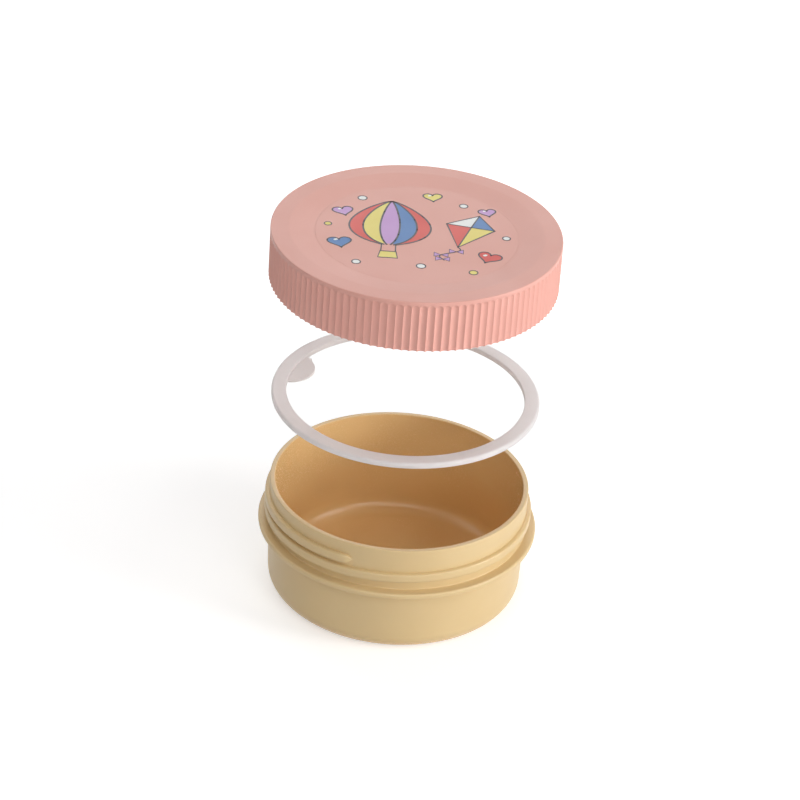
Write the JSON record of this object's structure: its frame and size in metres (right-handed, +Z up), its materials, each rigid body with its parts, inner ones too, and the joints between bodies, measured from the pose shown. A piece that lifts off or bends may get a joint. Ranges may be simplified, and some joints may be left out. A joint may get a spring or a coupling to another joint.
{
  "type": "snack container",
  "caption": "Round plastic snack container for a small child, with a fluted screw lid and a loose sealing ring with a pull tab, laid out opened.",
  "frame": {"origin": "centre of the circle on which the bowl's foot stands", "axes": "+Z up along the bowl's axis, +X to the right and +Y away from the viewer when the lid's front faces them"},
  "size_m": [0.108, 0.108, 0.155],
  "materials": {
    "bowl_plastic": "satin sand coloured polypropylene",
    "silicone": "milky translucent silicone",
    "label_film": "smooth in-mould label film",
    "lid_plastic": "satin salmon pink polypropylene"
  },
  "bodies": {
    "bowl": {"bowl": "bowl_plastic"},
    "seal_ring": {"seal_ring": "silicone"},
    "top_label": {"top_label": "label_film"},
    "lid": {"lid": "lid_plastic"}
  },
  "joints": [
    {"name": "lid_lift", "type": "slide", "parent": "bowl", "child": "top_label", "axis": [0, 0, 1], "range_m": [-0.104, 0]},
    {"name": "lid_turn", "type": "hinge", "parent": "top_label", "child": "lid", "pos_m": [0, 0, 0.145], "axis": [0, 0, 1], "range_deg": [-7200, 0]},
    {"name": "seal_lift", "type": "slide", "parent": "bowl", "child": "seal_ring", "axis": [0, 0, 1], "range_m": [-0.037, 0]}
  ],
  "couplings": [
    {"joint": "lid_lift", "follows": "lid_turn", "m_per_rad": 0.00082761},
    {"joint": "seal_lift", "follows": "lid_turn", "m_per_rad": 0.00029444}
  ]
}
